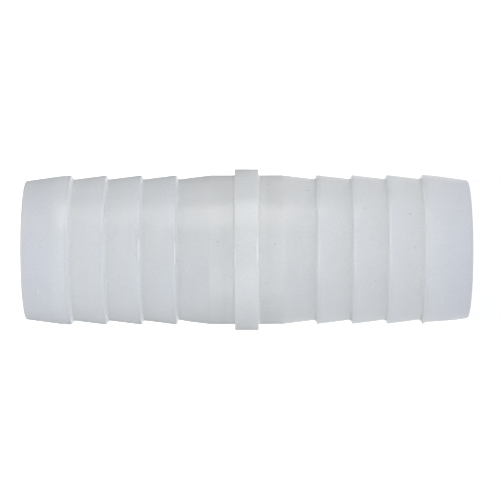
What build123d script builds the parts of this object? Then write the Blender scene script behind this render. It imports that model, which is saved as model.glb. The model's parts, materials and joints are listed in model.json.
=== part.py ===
from build123d import *
import os
from math import radians, tan

# Hose mender moulded in one piece: a barbed spigot on each end of a plain barrel with a square collar.
# Millimetres. The bore runs along Z, and the lower end face stands on Z = 0. The mould parted on the
# plane Y = 0, so what was trimmed of its flash is on the X sides.

# Waterway, and the wall around it at the tip of each spigot and in the barrel
bore_diameter = 20.6
tip_wall = 2.25
barrel_wall = 3.2

# Play of the tip in the bore of the hose that it enters
tip_clearance = 0.15

# Barbs, each a ramp that climbs from a foot, just wider than the hose's bore, to a crest with a narrow
# land, and drops to the next foot over a leaning shoulder
barb_count = 4
barb_pitch = 6.33
foot_squeeze = 0.1
barb_rise = 0.7
barb_land = 0.5
shoulder_lean = 0.31

# Outermost barb, longer than the others, down to the tip
end_barb_length = 8.35
end_barb_land = 1.5

# Barrel between the innermost barbs, a cylinder that tapers to a foot at each end
barrel_straight = 13.2
barrel_taper = 5.75

# Collar round the middle of the barrel, which stops the hoses
collar_rise = 1.1
collar_width = 4.3

# Eased corners, each by how far it is cut back along both of its sides
crest_ease = 0.1
foot_ease = 0.2
collar_ease = 0.15
collar_foot_ease = 0.2
tip_ease = 0.25
mouth_ease = 0.5

# Flash trimmed off with a blade along the parting line: a flat on the lowest barb, which stops short
# of the crest and leaves a tooth there, and a shallow cut at the foot of the upper barrel taper
tooth_width = 0.45
flat_depth = 0.37
flat_lean = 2.7
cut_depth = 0.2
cut_lean = 12.0

# Radii that follow, outwards from the bore
bore_radius = bore_diameter / 2
tip_radius = bore_radius + tip_wall
hose_radius = tip_radius + tip_clearance
foot_radius = hose_radius + foot_squeeze
crest_radius = foot_radius + barb_rise
barrel_radius = bore_radius + barrel_wall
collar_radius = barrel_radius + collar_rise

# Heights that follow, from the middle of the collar
barrel_end = barrel_straight / 2 + barrel_taper
first_crest = barrel_end + shoulder_lean
last_crest = first_crest + (barb_count - 1) * barb_pitch
half_length = last_crest + end_barb_length

# The two eased corners of an end face share its wall, so a thin wall limits them
tip_cut = min(tip_ease, tip_wall / 4)
mouth_cut = min(mouth_ease, tip_wall / 3)


# Corners of one end from the collar out to the bore's mouth: radius, height and easing of each
def end_corners():
    corners = [
        (collar_radius, collar_width / 2, collar_ease),
        (barrel_radius, collar_width / 2, collar_foot_ease),
        (barrel_radius, barrel_straight / 2, 0),
        (foot_radius, barrel_end, foot_ease),
    ]
    for barb in range(barb_count - 1):
        crest = first_crest + barb * barb_pitch
        corners += [
            (crest_radius, crest, crest_ease),
            (crest_radius, crest + barb_land, 0),
            (foot_radius, crest + barb_pitch - shoulder_lean, foot_ease),
        ]
    corners += [
        (crest_radius, last_crest, crest_ease),
        (crest_radius, last_crest + end_barb_land, 0),
        (tip_radius, half_length, tip_cut),
        (bore_radius, half_length, mouth_cut),
    ]
    return corners


# Closed outline through these corners, with each eased one cut back along both of its sides
def eased_outline(corners):
    before = corners[-1:] + corners[:-1]
    after = corners[1:] + corners[:1]
    points = []
    for neighbours, (radius, height, easing) in zip(zip(before, after), corners):
        corner = Vector(radius, height)
        if easing == 0:
            points.append(corner)
            continue
        for neighbour in neighbours:
            side = Vector(neighbour[0], neighbour[1]) - corner
            points.append(corner + side.normalized() * easing)
    return points


# Section of the wall with both ends, turned about the bore's axis. Its seam is on the +Y side.
def turned_body():
    upper = [(radius, half_length + height, easing) for radius, height, easing in end_corners()]
    lower = [(radius, 2 * half_length - height, easing) for radius, height, easing in reversed(upper)]
    with BuildPart() as body:
        with BuildSketch(Plane.YZ):
            with BuildLine():
                Polyline(*eased_outline(lower + upper), close=True)
            make_face()
        revolve(axis=Axis.Z)
    return body.part


# What a blade took off the -X side between two heights. Its face starts at this radius at the top and
# leans in by this many degrees on the way down, or out if they are negative.
def blade_cut(radius, lean, top, bottom):
    bottom_radius = radius - (top - bottom) * tan(radians(lean))
    far_side = 2 * collar_radius
    corners = [(-radius, top), (-bottom_radius, bottom), (-far_side, bottom), (-far_side, top)]
    with BuildPart() as cut:
        with BuildSketch(Plane.XZ):
            with BuildLine():
                Polyline(*corners, close=True)
            make_face()
        extrude(amount=collar_radius, both=True)
    return cut.part


# Flat on the lowest barb, from the tooth at its crest down until it runs out of the wall
def lowest_barb_flat():
    top = half_length - last_crest - tooth_width
    return blade_cut(crest_radius - flat_depth, flat_lean, top, 0)


# Shallow cut at the foot of the upper taper, right under the innermost barb's shoulder
def upper_foot_cut():
    top = half_length + barrel_end
    return blade_cut(foot_radius - cut_depth, -cut_lean, top, top - barrel_taper)


os.makedirs("parts", exist_ok=True)
mender = turned_body() - lowest_barb_flat() - upper_foot_cut()
export_step(mender, "parts/hose_mender.step")
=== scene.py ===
import json
import math

import bmesh
import bpy
from mathutils import Matrix, Vector


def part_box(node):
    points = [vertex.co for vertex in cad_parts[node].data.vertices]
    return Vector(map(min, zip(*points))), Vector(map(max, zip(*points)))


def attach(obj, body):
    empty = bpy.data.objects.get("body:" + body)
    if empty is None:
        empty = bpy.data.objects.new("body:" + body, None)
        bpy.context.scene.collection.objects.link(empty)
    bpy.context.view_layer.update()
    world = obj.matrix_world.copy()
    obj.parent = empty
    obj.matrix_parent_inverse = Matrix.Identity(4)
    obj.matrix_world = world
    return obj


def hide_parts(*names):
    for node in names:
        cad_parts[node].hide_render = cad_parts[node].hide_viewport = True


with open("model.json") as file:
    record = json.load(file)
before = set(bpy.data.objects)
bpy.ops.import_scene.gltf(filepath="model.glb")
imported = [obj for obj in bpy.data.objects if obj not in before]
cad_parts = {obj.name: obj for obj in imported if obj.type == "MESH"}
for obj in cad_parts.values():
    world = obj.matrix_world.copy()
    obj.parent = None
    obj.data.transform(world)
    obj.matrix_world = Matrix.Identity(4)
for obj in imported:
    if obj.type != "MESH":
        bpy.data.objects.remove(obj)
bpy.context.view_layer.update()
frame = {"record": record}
mm = 0.001
nodeLow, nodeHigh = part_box("hose_mender")
mounts = {mount["name"]: mount for mount in frame["record"]["mounts"]}
print("packed mender loaded")

# The mender is modelled in millimetres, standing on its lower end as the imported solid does
mender = {
    "length": (nodeHigh.z - nodeLow.z) / mm,
    "collarRadius": nodeHigh.x / mm,
    "crestRadius": mounts["lower_spigot"]["dims"]["r_mm"],
    "boreRadius": mounts["waterway"]["dims"]["r_mm"],
    "barrelRadius": 13.5,
    "footRadius": 12.8,
    "tipRadius": 12.55,
    "collarHalf": 2.15,
    "barrelHalf": 6.6,          # the cylinder, from the middle of the collar
    "taperEnd": 12.35,
    "shoulderLean": 0.31,
    "barbs": 4,
    "pitch": 6.33,
    "land": 0.5,
    "endLand": 1.5,
    "around": 192,              # faces round each ring
    "longFace": 0.75,           # faces outside that are longer than this are cut across
    "ringGap": 0.5,             # into faces about this long
    "unevenness": 0.008,        # how far the moulded skin wanders, apart from the flat end faces
    "unevenSize": 5.0,
    "smoothAngle": 35,          # degrees between two faces that are shaded as one
    "normalWeight": 60,
}

# How far each kind of corner is rounded, in millimetres, and in how many faces
rounding = {
    "collar": (0.10, 3),
    "collarFoot": (0.25, 3),
    "crest": (0.07, 3),
    "foot": (0.22, 3),
    "landEnd": (0.20, 2),
    "endLandEnd": (1.00, 4),
    "tip": (0.30, 4),
    "mouth": (0.50, 5),
}

# Blade cuts on the -X side: radius at the top of the face, lean inwards in degrees, top and length
bladeCuts = [
    {"radius": 13.13, "lean": 2.7, "top": 7.9, "length": 9.0},
    {"radius": 12.60, "lean": -12.0, "top": 52.35, "length": 5.75},
]
bladeBlock = {"thick": 3, "wide": 14}    # what the blade takes off reaches past the wall all round

# How near counts as there, in millimetres, where points, edges and faces are picked by their place
near = {"ring": 0.005, "straight": 0.001, "length": 0.01, "bore": 0.01, "cut": 0.002, "mirror": 0.001}
sameWay = 0.9999                         # cosine between two normals that count as parallel


def deselectAll():
    if bpy.context.mode != "OBJECT":
        bpy.ops.object.mode_set(mode="OBJECT")
    bpy.ops.object.select_all(action="DESELECT")


def endCorners():
    # radius, height above the collar's middle and kind of each corner, out to the bore
    m = mender
    half = m["length"] / 2
    corners = [
        (m["collarRadius"], m["collarHalf"], "collar"),
        (m["barrelRadius"], m["collarHalf"], "collarFoot"),
        (m["barrelRadius"], m["barrelHalf"], "landEnd"),
        (m["footRadius"], m["taperEnd"], "foot"),
    ]
    crest = m["taperEnd"] + m["shoulderLean"]
    for barb in range(m["barbs"] - 1):
        corners += [
            (m["crestRadius"], crest, "crest"),
            (m["crestRadius"], crest + m["land"], "landEnd"),
            (m["footRadius"], crest + m["pitch"] - m["shoulderLean"], "foot"),
        ]
        crest += m["pitch"]
    corners += [
        (m["crestRadius"], crest, "crest"),
        (m["crestRadius"], crest + m["endLand"], "endLandEnd"),
        (m["tipRadius"], half, "tip"),
        (m["boreRadius"], half, "mouth"),
    ]
    return corners


def selectRing(piece, radius, height):
    skin = bmesh.from_edit_mesh(piece.data)
    for edge in skin.edges:
        edge.select = all(
            abs(math.hypot(point.co.x, point.co.y) - radius) < near["ring"]
            and abs(point.co.z - height) < near["ring"]
            for point in edge.verts
        )
    skin.select_flush_mode()
    bmesh.update_edit_mesh(piece.data)


def turnOneEnd():
    # a ring is drawn out corner by corner, from the collar over the barbs to the tip and down the bore
    deselectAll()
    bpy.ops.mesh.primitive_circle_add(
        vertices=mender["around"], radius=mender["collarRadius"], location=(0, 0, 0))
    piece = bpy.context.object
    piece.name = piece.data.name = "nylonMender"
    bpy.ops.object.mode_set(mode="EDIT")
    bpy.ops.mesh.select_mode(type="EDGE")
    bpy.ops.mesh.select_all(action="SELECT")
    corners = endCorners()
    lastRadius, lastHeight = mender["collarRadius"], 0
    for radius, height, kind in corners + [(mender["boreRadius"], 0, "")]:
        bpy.ops.mesh.extrude_edges_move(
            TRANSFORM_OT_translate={"value": (0, 0, height - lastHeight)})
        share = radius / lastRadius
        bpy.ops.transform.resize(value=(share, share, 1), center_override=(0, 0, height))
        lastRadius, lastHeight = radius, height
    for radius, height, kind in corners:
        selectRing(piece, radius, height)
        width, faces = rounding[kind]
        bpy.ops.mesh.bevel(offset=width, segments=faces, affect="EDGES")
    return piece


def addRings(piece):
    # long faces outside are cut across, so that the skin can wander a little and the highlights with it
    skin = bmesh.from_edit_mesh(piece.data)
    lengths = {}
    for edge in skin.edges:
        a, b = (point.co for point in edge.verts)
        across = (a.xy - b.xy).length - abs(a.xy.length - b.xy.length)
        inBore = a.xy.length < mender["boreRadius"] + near["bore"]
        if across < near["straight"] and abs(a.z - b.z) > mender["longFace"] and not inBore:
            lengths.setdefault(round(a.z + b.z, 2), abs(a.z - b.z))
    for middle, length in lengths.items():
        skin = bmesh.from_edit_mesh(piece.data)
        for edge in skin.edges:
            a, b = (point.co for point in edge.verts)
            edge.select = (abs(a.z + b.z - middle) < near["length"]
                           and abs(abs(a.z - b.z) - length) < near["length"])
        skin.select_flush_mode()
        bmesh.update_edit_mesh(piece.data)
        bpy.ops.mesh.subdivide(number_cuts=int(length / mender["ringGap"]))


def applyModifier(piece, kind, **settings):
    modifier = piece.modifiers.new(kind.title(), kind)
    for name, value in settings.items():
        setattr(modifier, name, value)
    bpy.context.view_layer.objects.active = piece
    bpy.ops.object.modifier_apply(modifier=modifier.name)


def cutWithBlade(piece, cut):
    lean = math.radians(cut["lean"])
    deselectAll()
    bpy.ops.mesh.primitive_cube_add(size=1)
    block = bpy.context.object
    block.scale = (bladeBlock["thick"], bladeBlock["wide"], cut["length"])
    block.rotation_euler = (0, -lean, 0)
    corner = Matrix.Rotation(-lean, 3, "Y") @ Vector((bladeBlock["thick"] / 2, 0, cut["length"] / 2))
    block.location = Vector((-cut["radius"], 0, cut["top"])) - corner
    bpy.ops.object.transform_apply(location=True, rotation=True, scale=True)
    applyModifier(piece, "BOOLEAN", operation="DIFFERENCE", solver="EXACT", object=block)
    bpy.data.objects.remove(block)


def markBladeEdges(piece):
    # the outline of each cut face stays crisp
    for cut in bladeCuts:
        lean = math.radians(cut["lean"])
        facing = Vector((-math.cos(lean), 0, -math.sin(lean)))
        start = Vector((-cut["radius"], 0, cut["top"]))
        skin = bmesh.new()
        skin.from_mesh(piece.data)
        inCut = {
            face.index for face in skin.faces
            if face.normal.dot(facing) > sameWay
            and abs((face.calc_center_median() - start).dot(facing)) < near["cut"]
        }
        for edge in skin.edges:
            if sum(face.index in inCut for face in edge.link_faces) == 1:
                edge.smooth = False
        skin.to_mesh(piece.data)
        skin.free()
        print("blade cut of", len(inCut), "faces")


def wanderSkin(piece):
    # the end faces stay flat, because the mender stands on one of them
    endDepth = rounding["mouth"][0]
    inWall = [
        point.index for point in piece.data.vertices
        if endDepth < point.co.z < mender["length"] - endDepth
    ]
    piece.vertex_groups.new(name="wall").add(inWall, 1, "REPLACE")
    uneven = bpy.data.textures.new("unevenSkin", "CLOUDS")
    uneven.noise_scale = mender["unevenSize"]
    applyModifier(piece, "DISPLACE", texture=uneven, texture_coords="LOCAL", vertex_group="wall",
                  strength=mender["unevenness"], mid_level=0.5)


def makeMender():
    piece = turnOneEnd()
    addRings(piece)
    deselectAll()
    applyModifier(piece, "MIRROR", use_axis=(False, False, True), merge_threshold=near["mirror"])
    piece.select_set(True)
    bpy.ops.object.mode_set(mode="EDIT")
    bpy.ops.mesh.select_all(action="SELECT")
    bpy.ops.transform.translate(value=(0, 0, mender["length"] / 2))
    bpy.ops.mesh.normals_make_consistent(inside=False)
    bpy.ops.object.mode_set(mode="OBJECT")
    wanderSkin(piece)
    for cut in bladeCuts:
        cutWithBlade(piece, cut)
    deselectAll()
    piece.select_set(True)
    bpy.context.view_layer.objects.active = piece
    bpy.ops.object.shade_smooth_by_angle(angle=math.radians(mender["smoothAngle"]), keep_sharp_edges=True)
    markBladeEdges(piece)
    applyModifier(piece, "WEIGHTED_NORMAL", keep_sharp=True, weight=mender["normalWeight"])
    piece.scale = (mm, mm, mm)
    bpy.ops.object.transform_apply(location=False, rotation=False, scale=True)
    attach(piece, "root")
    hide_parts("hose_mender")
    print("mender modelled,", len(piece.data.polygons), "faces")
    return piece


# Colours of the nylon by place: warmest in the barrel and bluest at the ends. Painted shade darkens the
# crests and their rims, and painted light lightens the shoulders that face up, the feet of the barbs and
# the barrel beside the collar. Where they meet, a colour covers those above it.
toneAndPaintedLightColours = {
    "Barrel": (0.742, 0.775, 0.800, 1),
    "Barb": (0.786, 0.838, 0.930, 1),
    "End": (0.703, 0.742, 0.852, 1),
    "Collar": (0.728, 0.775, 0.816, 1),
    # painted shade: the crests and their rims are darker, the lower spigot's less so
    "Crest": (0.745, 0.800, 0.885, 1),
    "Rim": (0.690, 0.738, 0.820, 1),
    # painted light: the skin that faces up is lighter
    "Shoulder": (0.850, 0.915, 0.985, 1),
    # painted light at the feet of the barbs, where shade falls between them
    "Foot": (0.822, 0.878, 0.955, 1),
    # painted light in the barrel beside the collar, where the collar's shade falls
    "Beside": (0.835, 0.858, 0.868, 1),
}

# Where those colours come in, from not at all to fully, in millimetres
toneAndPaintedLightEdges = {
    "barb": (5.0, 14.0),            # from the middle of the collar along the axis
    "end": (24.0, 40.0),
    "beside": (4.2, 2.2),
    "onBarbs": (32.5, 31.5),
    "upperHalf": (0.0, 1.0),
    "pastTaper": (-0.1, 0.2),       # past the end of the taper
    "toCrest": (0.95, 0.30),        # from the nearest crest
    "outside": (-0.6, -0.3),        # out from the radius of the tip
    "low": (0.45, 0.02),            # out from the radius of the foot
    "aboveFoot": (0.2, 0.5),
    "onBarrel": (0.4, 0.1),         # out from the radius of the barrel
    "high": (-0.30, -0.06),         # out from the radius of the crest
    "shoulder": (0.2, 0.7),         # how far the skin faces up, from 0 to 1
}
# how much of the painted shade on the crests and their rims the lower spigot keeps
lowerPaintedShadeShare = 0.5                    # how strongly the lower spigot's crests and rims show

# Natural nylon: milky and a little see-through
nylon = {
    "roughness": 0.22,
    "roughnessSwing": 0.16,
    "depth": 0.010,             # how far light spreads in it, in metres
    "spread": (1.0, 0.96, 0.92),
    "cloudSize": 4.0,           # milky clouds in the wall, in millimetres
    "cloudDepth": 0.015,
    "grainSize": 0.30,
    "grainDepth": 0.045,
    "mottleDetail": 3,
    "noiseSpread": 4.0,         # noise keeps near its middle of 0.5, and is spread out by this
    "skinSize": 0.9,            # fine unevenness of the skin
    "skinDepth": 0.0012,
    "skinDetail": 4,
    "partingWidth": 0.12,
    "partingDrop": 6.0,         # how deep the parting line is, in depths of the skin's unevenness
    "partingEdge": (1.0, 0.3),  # where it fades, in shares of its width
    "partingColour": (0.70, 0.72, 0.74, 1),
    "partingShare": 0.5,
    "ior": 1.53,
}

# Dark marks on the skin and painted glints on its edges, by where the picture shows them: pixel, half
# width and half height in pixels, the mender's radius there in millimetres, and how strongly the mark
# shows
darkMarks = [
    {"pixel": (267.3, 184.8), "size": (0.8, 0.8), "radius": 13.5, "share": 0.50},
    {"pixel": (218.0, 241.6), "size": (0.9, 0.9), "radius": 13.5, "share": 0.38},
    {"pixel": (275.5, 244.4), "size": (1.0, 0.8), "radius": 13.5, "share": 0.42},
    {"pixel": (366.0, 209.2), "size": (0.8, 0.7), "radius": 13.4, "share": 0.40},
    {"pixel": (410.6, 214.2), "size": (1.1, 0.7), "radius": 13.2, "share": 0.45},
    {"pixel": (415.4, 248.3), "size": (0.8, 0.8), "radius": 13.1, "share": 0.40},
    {"pixel": (375.6, 280.8), "size": (0.8, 0.8), "radius": 13.2, "share": 0.40},
    {"pixel": (266.2, 283.7), "size": (0.9, 0.8), "radius": 13.5, "share": 0.42},
    {"pixel": (274.1, 294.8), "size": (0.8, 0.8), "radius": 13.5, "share": 0.36},
    {"pixel": (267.4, 308.0), "size": (0.9, 0.8), "radius": 13.5, "share": 0.42},
    {"pixel": (263.6, 302.2), "size": (0.8, 0.7), "radius": 13.5, "share": 0.25},
    {"pixel": (231.3, 276.7), "size": (0.8, 0.8), "radius": 13.5, "share": 0.35},
    {"pixel": (306.0, 187.2), "size": (2.8, 0.5), "radius": 13.0, "share": 0.28},
    {"pixel": (307.6, 190.3), "size": (4.2, 0.5), "radius": 13.0, "share": 0.45},
]
# painted glints: white streaks on the edges of the collar and the crests, and on the end barb
paintedGlints = [
    {"pixel": (37.9, 290.9), "size": (0.7, 3.2), "radius": 12.8, "share": 0.7},
    {"pixel": (234.7, 257.0), "size": (1.2, 14.0), "radius": 14.6, "share": 1.0},
    {"pixel": (257.5, 250.0), "size": (1.0, 17.0), "radius": 14.6, "share": 1.0},
    {"pixel": (175.0, 253.0), "size": (1.1, 17.0), "radius": 13.5, "share": 1.0},
    {"pixel": (138.8, 249.0), "size": (1.1, 15.0), "radius": 13.5, "share": 1.0},
    {"pixel": (318.7, 257.0), "size": (1.0, 18.0), "radius": 13.5, "share": 1.0},
    {"pixel": (354.4, 252.0), "size": (0.8, 16.0), "radius": 13.5, "share": 0.5},
]
markColours = {"dark": (0.30, 0.27, 0.26, 1), "pale": (0.88, 0.95, 1.0, 1)}
markEdge = (1.0, 0.5)           # where a mark fades, in shares of its half width
markDepth = 2 * mm              # how far it goes into the wall
markMargin = 0.02 * mm          # keeps a thin mark from vanishing at the side


def addNode(tree, kind, **settings):
    node = tree.nodes.new("ShaderNode" + kind)
    for name, value in settings.items():
        setattr(node, name, value)
    return node


def connect(tree, value, socket):
    # a plain number or colour is set on the socket, an output is linked to it
    if isinstance(value, bpy.types.NodeSocket):
        tree.links.new(value, socket)
    else:
        socket.default_value = value


def calculate(tree, operation, *values):
    node = addNode(tree, "Math", operation=operation)
    for value, socket in zip(values, node.inputs):
        connect(tree, value, socket)
    return node.outputs[0]


def ramp(tree, value, start, end):
    # 0 at the start, 1 at the end, and smooth between
    node = addNode(tree, "MapRange", interpolation_type="SMOOTHSTEP")
    node.inputs["From Min"].default_value = start
    node.inputs["From Max"].default_value = end
    connect(tree, value, node.inputs["Value"])
    return node.outputs["Result"]


# Where a Mix node has its colours, which share their names with its numbers and vectors
mixSockets = {"first": 6, "second": 7, "blended": 2}


def blendColours(tree, share, first, second):
    node = addNode(tree, "Mix", data_type="RGBA")
    connect(tree, share, node.inputs["Factor"])
    connect(tree, first, node.inputs[mixSockets["first"]])
    connect(tree, second, node.inputs[mixSockets["second"]])
    return node.outputs[mixSockets["blended"]]


def newGroup(name, inputs, outputs):
    group = bpy.data.node_groups.new(name, "ShaderNodeTree")
    for label, kind in inputs.items():
        group.interface.new_socket(label, in_out="INPUT", socket_type=kind)
    for label, kind in outputs.items():
        group.interface.new_socket(label, in_out="OUTPUT", socket_type=kind)
    return group, group.nodes.new("NodeGroupInput"), group.nodes.new("NodeGroupOutput")


def makeToneAndPaintedLight():
    # colour by where a point lies on the mender, with painted shade on the crests and their rims and
    # painted light on the shoulders that face up, at the feet of the barbs and beside the collar
    m = mender
    tree, given, result = newGroup(
        "wallTone", {name: "NodeSocketColor" for name in toneAndPaintedLightColours}, {"Colour": "NodeSocketColor"})

    def comesIn(value, edge, past=0):
        start, end = toneAndPaintedLightEdges[edge]
        return ramp(tree, value, past + start, past + end)

    def multiply(first, second):
        return calculate(tree, "MULTIPLY", first, second)

    texture = addNode(tree, "TexCoord")
    place = addNode(tree, "SeparateXYZ")
    tree.links.new(texture.outputs["Object"], place.inputs[0])
    facing = addNode(tree, "SeparateXYZ")
    tree.links.new(texture.outputs["Normal"], facing.inputs[0])
    xSquare = calculate(tree, "POWER", place.outputs["X"], 2.0)
    ySquare = calculate(tree, "POWER", place.outputs["Y"], 2.0)
    radius = calculate(tree, "DIVIDE", calculate(
        tree, "SQRT", calculate(tree, "ADD", xSquare, ySquare)), mm)
    height = calculate(tree, "DIVIDE", place.outputs["Z"], mm)
    fromMiddle = calculate(tree, "ABSOLUTE", calculate(tree, "SUBTRACT", height, m["length"] / 2))
    fromFirst = calculate(tree, "SUBTRACT", fromMiddle, m["taperEnd"] + m["shoulderLean"])
    toCrest = calculate(tree, "PINGPONG", fromFirst, m["pitch"] / 2)

    outside = comesIn(radius, "outside", m["tipRadius"])
    onUpper = comesIn(height, "upperHalf", m["length"] / 2)
    paintedShadeShare = multiply(
        comesIn(fromMiddle, "pastTaper", m["taperEnd"]),
        calculate(tree, "MULTIPLY_ADD", onUpper, 1 - lowerPaintedShadeShare, lowerPaintedShadeShare))
    rimShadeMask = multiply(comesIn(toCrest, "toCrest"), comesIn(radius, "aboveFoot", m["footRadius"]))
    onBarbs = multiply(outside, comesIn(fromMiddle, "onBarbs"))
    onBarrel = multiply(outside, comesIn(radius, "onBarrel", m["barrelRadius"]))
    masks = {
        "Barb": comesIn(fromMiddle, "barb"),
        "End": comesIn(fromMiddle, "end"),
        "Collar": ramp(tree, radius, m["barrelRadius"], m["collarRadius"]),
        # painted shade on the crests and their rims
        "Crest": multiply(comesIn(radius, "high", m["crestRadius"]), paintedShadeShare),
        "Rim": multiply(rimShadeMask, paintedShadeShare),
        # painted light where the skin faces up
        "Shoulder": comesIn(facing.outputs["Z"], "shoulder"),
        # painted light at the feet of the barbs, lifting the shade there
        "Foot": multiply(comesIn(radius, "low", m["footRadius"]), onBarbs),
        # painted light in the barrel beside the collar
        "Beside": multiply(comesIn(fromMiddle, "beside"), onBarrel),
    }
    colour = given.outputs["Barrel"]
    for name, mask in masks.items():
        colour = blendColours(tree, mask, colour, given.outputs[name])
    tree.links.new(colour, result.inputs["Colour"])
    return tree


def makeMottle():
    # lightens and darkens a colour in soft spots of one size
    tree, given, result = newGroup(
        "mottle",
        {"Colour": "NodeSocketColor", "Size": "NodeSocketFloat", "Depth": "NodeSocketFloat"},
        {"Colour": "NodeSocketColor"})
    noise = addNode(tree, "TexNoise")
    noise.inputs["Detail"].default_value = nylon["mottleDetail"]
    tree.links.new(addNode(tree, "TexCoord").outputs["Object"], noise.inputs["Vector"])
    tree.links.new(calculate(tree, "DIVIDE", 1 / mm, given.outputs["Size"]), noise.inputs["Scale"])
    fromMean = calculate(tree, "SUBTRACT", noise.outputs["Fac"], 0.5)
    swing = calculate(tree, "MULTIPLY", fromMean, nylon["noiseSpread"])
    bright = calculate(tree, "MULTIPLY_ADD", swing, given.outputs["Depth"], 1.0)
    scaled = addNode(tree, "VectorMath", operation="SCALE")
    tree.links.new(given.outputs["Colour"], scaled.inputs[0])
    tree.links.new(bright, scaled.inputs["Scale"])
    tree.links.new(scaled.outputs[0], result.inputs["Colour"])
    return tree


def makeSpot():
    # 1 in a soft-edged spot with this centre and these half widths, 0 elsewhere
    tree, given, result = newGroup(
        "spot", {"Centre": "NodeSocketVector", "Size": "NodeSocketVector"}, {"Mask": "NodeSocketFloat"})
    offset = addNode(tree, "VectorMath", operation="SUBTRACT")
    tree.links.new(addNode(tree, "TexCoord").outputs["Object"], offset.inputs[0])
    tree.links.new(given.outputs["Centre"], offset.inputs[1])
    share = addNode(tree, "VectorMath", operation="DIVIDE")
    tree.links.new(offset.outputs[0], share.inputs[0])
    tree.links.new(given.outputs["Size"], share.inputs[1])
    distance = addNode(tree, "VectorMath", operation="LENGTH")
    tree.links.new(share.outputs[0], distance.inputs[0])
    tree.links.new(ramp(tree, distance.outputs["Value"], *markEdge), result.inputs["Mask"])
    return tree


def makeSkin():
    # fine unevenness of the moulded skin, and the parting line along both X sides
    tree, given, result = newGroup(
        "skin",
        {"Size": "NodeSocketFloat", "Depth": "NodeSocketFloat", "Parting": "NodeSocketFloat"},
        {"Normal": "NodeSocketVector", "Rough": "NodeSocketFloat", "Line": "NodeSocketFloat"})
    texture = addNode(tree, "TexCoord")
    noise = addNode(tree, "TexNoise")
    noise.inputs["Detail"].default_value = nylon["skinDetail"]
    tree.links.new(texture.outputs["Object"], noise.inputs["Vector"])
    tree.links.new(calculate(tree, "DIVIDE", 1 / mm, given.outputs["Size"]), noise.inputs["Scale"])
    place = addNode(tree, "SeparateXYZ")
    tree.links.new(texture.outputs["Object"], place.inputs[0])
    fromPlane = calculate(tree, "DIVIDE", calculate(tree, "ABSOLUTE", place.outputs["Y"]), mm)
    gap = calculate(tree, "DIVIDE", fromPlane, given.outputs["Parting"])
    line = ramp(tree, gap, *nylon["partingEdge"])
    drop = calculate(tree, "MULTIPLY", line, nylon["partingDrop"])
    height = calculate(tree, "SUBTRACT", noise.outputs["Fac"], drop)
    bump = addNode(tree, "Bump")
    tree.links.new(height, bump.inputs["Height"])
    tree.links.new(calculate(tree, "MULTIPLY", given.outputs["Depth"], mm), bump.inputs["Distance"])
    tree.links.new(bump.outputs["Normal"], result.inputs["Normal"])
    tree.links.new(noise.outputs["Fac"], result.inputs["Rough"])
    tree.links.new(line, result.inputs["Line"])
    return tree


def placeGroup(tree, group, **values):
    node = addNode(tree, "Group", node_tree=group)
    for name, value in values.items():
        connect(tree, value, node.inputs[name])
    return node.outputs


def seenAt(mark):
    # where the skin is behind the middle of this pixel, and the half widths of the mark. A near point
    # looks larger, so the depth is worked out again with the size of a pixel there.
    column, row = mark["pixel"]
    radius = mark["radius"] * mm
    depth = 0
    for attempt in range(3):
        pixel = camera["pixel"] * (1 - depth / camera["distance"])
        x = (camera["centre"][1] - row) * pixel
        depth = math.sqrt(radius ** 2 - x ** 2)
    z = mender["length"] / 2 * mm + (camera["centre"][0] - column) * pixel
    wide, high = (size * pixel for size in mark["size"])
    return (x, -depth, z), (high * depth / radius + markMargin, markDepth, wide)


def addMarksAndPaintedGlints(tree, colour):
    # dark specks and scratches, and painted glints, each blended into the colour
    spot = makeSpot()
    for marks, markColour in ((darkMarks, markColours["dark"]), (paintedGlints, markColours["pale"])):
        for mark in marks:
            centre, size = seenAt(mark)
            mask = placeGroup(tree, spot, Centre=centre, Size=size)["Mask"]
            colour = blendColours(tree, calculate(tree, "MULTIPLY", mask, mark["share"]), colour,
                                  markColour)
    return colour


def makeNylon():
    material = bpy.data.materials.new("naturalNylon")
    material.use_nodes = True
    tree = material.node_tree
    shader = tree.nodes["Principled BSDF"]
    tonedAndLit = placeGroup(tree, makeToneAndPaintedLight(), **toneAndPaintedLightColours)["Colour"]
    mottle = makeMottle()
    cloudy = placeGroup(tree, mottle, Colour=tonedAndLit, Size=nylon["cloudSize"],
                        Depth=nylon["cloudDepth"])["Colour"]
    grainy = placeGroup(tree, mottle, Colour=cloudy, Size=nylon["grainSize"],
                        Depth=nylon["grainDepth"])["Colour"]
    skin = placeGroup(tree, makeSkin(), Size=nylon["skinSize"], Depth=nylon["skinDepth"],
                      Parting=nylon["partingWidth"])
    partingMask = calculate(tree, "MULTIPLY", skin["Line"], nylon["partingShare"])
    parted = blendColours(tree, partingMask, grainy, nylon["partingColour"])
    tree.links.new(addMarksAndPaintedGlints(tree, parted), shader.inputs["Base Color"])
    swing = nylon["roughnessSwing"]
    rough = calculate(tree, "MULTIPLY_ADD", skin["Rough"], swing, nylon["roughness"] - swing / 2)
    tree.links.new(rough, shader.inputs["Roughness"])
    tree.links.new(skin["Normal"], shader.inputs["Normal"])
    shader.inputs["IOR"].default_value = nylon["ior"]
    shader.inputs["Subsurface Weight"].default_value = 1.0
    shader.inputs["Subsurface Radius"].default_value = nylon["spread"]
    shader.inputs["Subsurface Scale"].default_value = nylon["depth"]
    print("nylon mixed")
    return material


# Studio: a white floor and a white board that fills the view behind the mender, in a plain soft room
studio = {
    "white": (0.8, 0.8, 0.8, 1),
    "whiteRoughness": 0.12,
    "floorSize": 3.0,
    "floorDrop": 0.01 * mm,     # keeps it just clear of the end face that the mender stands on
    "floorShown": 0.48,         # its glow where it is seen
    "floorGlow": 0.240,         # its glow on the mender
    "boardSize": (0.34, 0.22),  # wide and high
    "boardBehind": 1.0,         # how far behind the mender
    "boardShown": 1.0,
    "ambient": 0.365,           # light of the room
}

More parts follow.
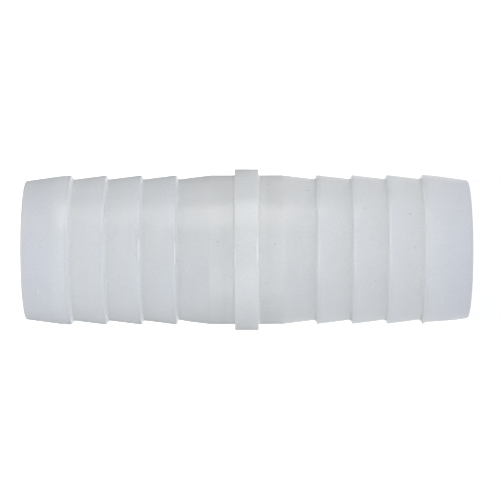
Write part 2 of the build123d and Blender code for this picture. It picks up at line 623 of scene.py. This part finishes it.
# Soft boxes: two warm ones up the picture, two down it, one overhead, one low in front and one behind.
# The picture is turned a quarter, so its top is the +X side and its right is the floor.
warm = (1.0, 0.96, 0.91)
plain = (1, 1, 1)
lamps = {
    "top": {"place": (0.357, -0.274, 0.092), "size": (0.30, 0.17), "power": 0.350, "colour": warm},
    "topLow": {"place": (0.103, -0.079, 0.010), "size": (0.084, 0.02), "power": 0.0095, "colour": warm},
    "bottom": {"place": (-0.345, -0.289, 0.055), "size": (0.39, 0.10), "power": 0.190, "colour": plain},
    "bottomSide": {"place": (-0.45, -0.02, 0.09), "size": (0.35, 0.16), "power": 0.046, "colour": plain},
    "overhead": {"place": (-0.15, -0.20, 0.40), "size": (0.25, 0.25), "power": 0.385, "colour": plain},
    "low": {"place": (0.0, -0.25, 0.012), "size": (0.30, 0.02), "power": 0.088, "colour": plain},
    "back": {"place": (0.06, 0.30, 0.45), "size": (0.25, 0.25), "power": 0.135, "colour": plain},
}


def isSeenRay(tree):
    # 1 for what the camera sees straight, in a reflection or through a clear wall
    path = addNode(tree, "LightPath")
    seen = calculate(tree, "MAXIMUM", path.outputs["Is Camera Ray"], path.outputs["Is Glossy Ray"])
    return calculate(tree, "MAXIMUM", seen, path.outputs["Is Transmission Ray"])


def makeWhite(name, shown, glow):
    # shown is its glow where it is seen, and glow is the light that it gives the mender
    white = bpy.data.materials.new(name)
    white.use_nodes = True
    tree = white.node_tree
    shader = tree.nodes["Principled BSDF"]
    shader.inputs["Base Color"].default_value = studio["white"]
    shader.inputs["Roughness"].default_value = studio["whiteRoughness"]
    shader.inputs["Emission Color"].default_value = (1, 1, 1, 1)
    strength = addNode(tree, "MapRange")
    strength.inputs["To Min"].default_value = glow
    strength.inputs["To Max"].default_value = shown
    tree.links.new(isSeenRay(tree), strength.inputs["Value"])
    tree.links.new(strength.outputs["Result"], shader.inputs["Emission Strength"])
    return white


def makeRoom():
    world = bpy.context.scene.world or bpy.data.worlds.new("studio")
    bpy.context.scene.world = world
    world.use_nodes = True
    background = world.node_tree.nodes["Background"]
    background.inputs["Color"].default_value = (1, 1, 1, 1)
    background.inputs["Strength"].default_value = studio["ambient"]

    deselectAll()
    bpy.ops.mesh.primitive_plane_add(size=studio["floorSize"], location=(0, 0, -studio["floorDrop"]))
    floor = bpy.context.object
    floor.name = "floor"
    floor.data.materials.append(makeWhite("whiteFloor", studio["floorShown"], studio["floorGlow"]))

    wide, high = studio["boardSize"]
    deselectAll()
    bpy.ops.mesh.primitive_plane_add(
        size=1, location=(0, studio["boardBehind"], high / 2), rotation=(math.pi / 2, 0, 0))
    board = bpy.context.object
    board.name = "board"
    board.scale = (wide, high, 1)
    bpy.ops.object.transform_apply(location=True, rotation=True, scale=True)
    board.data.materials.append(makeWhite("whiteBoard", studio["boardShown"], studio["ambient"]))
    print("floor and board set up")


def hangLamps():
    target = Vector((0, 0, mender["length"] / 2 * mm))
    for name, lamp in lamps.items():
        light = bpy.data.lights.new(name, "AREA")
        light.shape = "RECTANGLE"
        light.size, light.size_y = lamp["size"]
        light.energy = lamp["power"]
        light.color = lamp["colour"]
        holder = bpy.data.objects.new(name, light)
        holder.location = lamp["place"]
        holder.rotation_euler = (target - holder.location).to_track_quat("-Z", "Y").to_euler()
        holder.visible_camera = False
        bpy.context.scene.collection.objects.link(holder)
    print(len(lamps), "lamps hung")


# Camera: level, straight at the side, rolled a quarter so that the mender lies across the picture
camera = {
    "distance": 0.447,
    "sensor": 36,
    "pixel": 0.18145 * mm,      # what one pixel covers at the bore's axis
    "pixels": 500,
    "centre": (246.8, 249.7),   # where the middle of the collar is in the picture
    "roll": 0.14,               # degrees beyond the quarter turn
}


def makeCamera():
    lens = bpy.data.cameras.new("camera")
    lens.sensor_width = camera["sensor"]
    lens.lens = lens.sensor_width * camera["distance"] / (camera["pixels"] * camera["pixel"])
    holder = bpy.data.objects.new("camera", lens)
    across, down = (camera["pixels"] / 2 - place for place in camera["centre"])
    middle = mender["length"] / 2 * mm
    holder.location = (-down * camera["pixel"], -camera["distance"], middle - across * camera["pixel"])
    # the columns are the picture's right, which is down, its top, which is +X, and its back
    square = Matrix((Vector((0, 0, -1)), Vector((1, 0, 0)), Vector((0, -1, 0)))).transposed()
    roll = Matrix.Rotation(math.radians(camera["roll"]), 3, "Y")
    holder.rotation_euler = (roll @ square).to_euler()
    bpy.context.scene.collection.objects.link(holder)
    bpy.context.scene.camera = holder
    print("camera in place")


part = makeMender()
part.data.materials.append(makeNylon())
makeRoom()
hangLamps()
makeCamera()
bpy.context.scene.view_settings.view_transform = "Standard"
